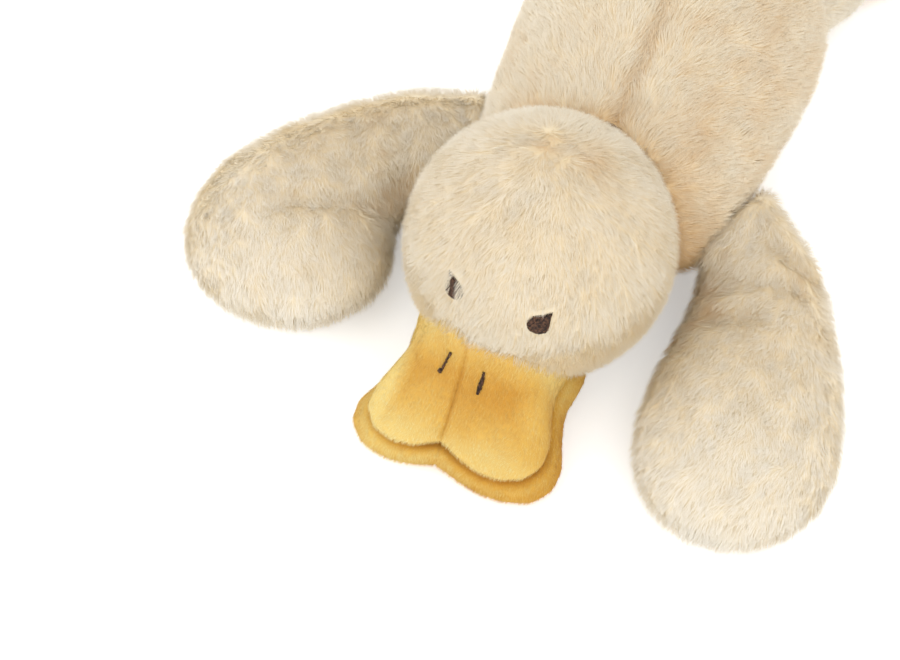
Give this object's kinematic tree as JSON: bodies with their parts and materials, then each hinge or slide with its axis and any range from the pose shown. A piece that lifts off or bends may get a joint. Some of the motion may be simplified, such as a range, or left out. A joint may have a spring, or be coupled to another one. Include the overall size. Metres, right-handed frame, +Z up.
{
  "type": "plush duck",
  "caption": "Soft plush duck lying on its belly, with a ball head, a flat double bill, long floppy wings, webbed feet and a short tail.",
  "frame": {"origin": "middle of the flat underside of the belly, on the surface the duck lies on", "axes": "-Y is the way the duck looks, +X its left side, +Z up"},
  "size_m": [0.3499, 0.4446, 0.1265],
  "materials": {
    "cream_pile": "matte",
    "bill_velour": "matte",
    "deep_velour": "matte",
    "brown_thread": "satin",
    "fibre": "matte",
    "pouch_cloth": "matte"
  },
  "bodies": {
    "torso": {"torso_cover": "cream_pile", "torso_filling": "fibre", "pellet_pouch": "pouch_cloth"},
    "neck": {"neck_band": "cream_pile"},
    "head": {"head_cover": "cream_pile", "head_filling": "fibre", "eye_left": "brown_thread", "eye_right": "brown_thread", "upper_bill_cover": "bill_velour", "upper_bill_filling": "fibre", "nostril_left": "brown_thread", "nostril_right": "brown_thread"},
    "lower_bill": {"lower_bill_cover": "deep_velour", "lower_bill_filling": "fibre"},
    "wing_right": {"wing_right_cover": "cream_pile", "wing_right_filling": "fibre"},
    "wing_left": {"wing_left_cover": "cream_pile", "wing_left_filling": "fibre"},
    "leg_right": {"leg_right_cover": "cream_pile", "leg_right_filling": "fibre"},
    "leg_left": {"leg_left_cover": "cream_pile", "leg_left_filling": "fibre"},
    "foot_right": {"foot_right_cover": "deep_velour", "foot_right_filling": "fibre"},
    "foot_left": {"foot_left_cover": "deep_velour", "foot_left_filling": "fibre"},
    "tail": {"tail_cover": "cream_pile", "tail_filling": "fibre"}
  },
  "joints": [
    {"name": "neck_turn", "type": "hinge", "parent": "torso", "child": "neck", "pos_m": [-0.009, -0.145, 0.063], "axis": [0, 0, 1], "range_deg": [-14, 14]},
    {"name": "head_nod", "type": "hinge", "parent": "neck", "child": "head", "pos_m": [-0.009, -0.145, 0.063], "axis": [1, 0, 0], "range_deg": [-35, 12]},
    {"name": "jaw", "type": "hinge", "parent": "head", "child": "lower_bill", "pos_m": [-0.014, -0.185, 0.025], "axis": [1, 0, 0], "range_deg": [0, 20]},
    {"name": "wing_right_flap", "type": "hinge", "parent": "torso", "child": "wing_right", "pos_m": [-0.07258, -0.078, 0.033], "axis": [-0.342, 0.9397, 0], "range_deg": [-40, 50]},
    {"name": "wing_left_flap", "type": "hinge", "parent": "torso", "child": "wing_left", "pos_m": [0.07258, -0.078, 0.033], "axis": [-0.342, -0.9397, 0], "range_deg": [-40, 50]},
    {"name": "hip_right", "type": "hinge", "parent": "torso", "child": "leg_right", "pos_m": [-0.05, 0.082, 0.02], "axis": [0.9397, 0.342, 0], "range_deg": [-30, 35]},
    {"name": "hip_left", "type": "hinge", "parent": "torso", "child": "leg_left", "pos_m": [0.05, 0.082, 0.02], "axis": [0.9397, -0.342, 0], "range_deg": [-30, 35]},
    {"name": "ankle_right", "type": "hinge", "parent": "leg_right", "child": "foot_right", "pos_m": [-0.06642, 0.1271, 0.0085], "axis": [0.9397, 0.342, 0], "range_deg": [-30, 30]},
    {"name": "ankle_left", "type": "hinge", "parent": "leg_left", "child": "foot_left", "pos_m": [0.06642, 0.1271, 0.0085], "axis": [0.9397, -0.342, 0], "range_deg": [-30, 30]},
    {"name": "tail_wag", "type": "hinge", "parent": "torso", "child": "tail", "pos_m": [0, 0.087, 0.066], "axis": [1, 0, 0], "range_deg": [-18, 18], "stiffness_Nm_per_rad": 0.05}
  ]
}
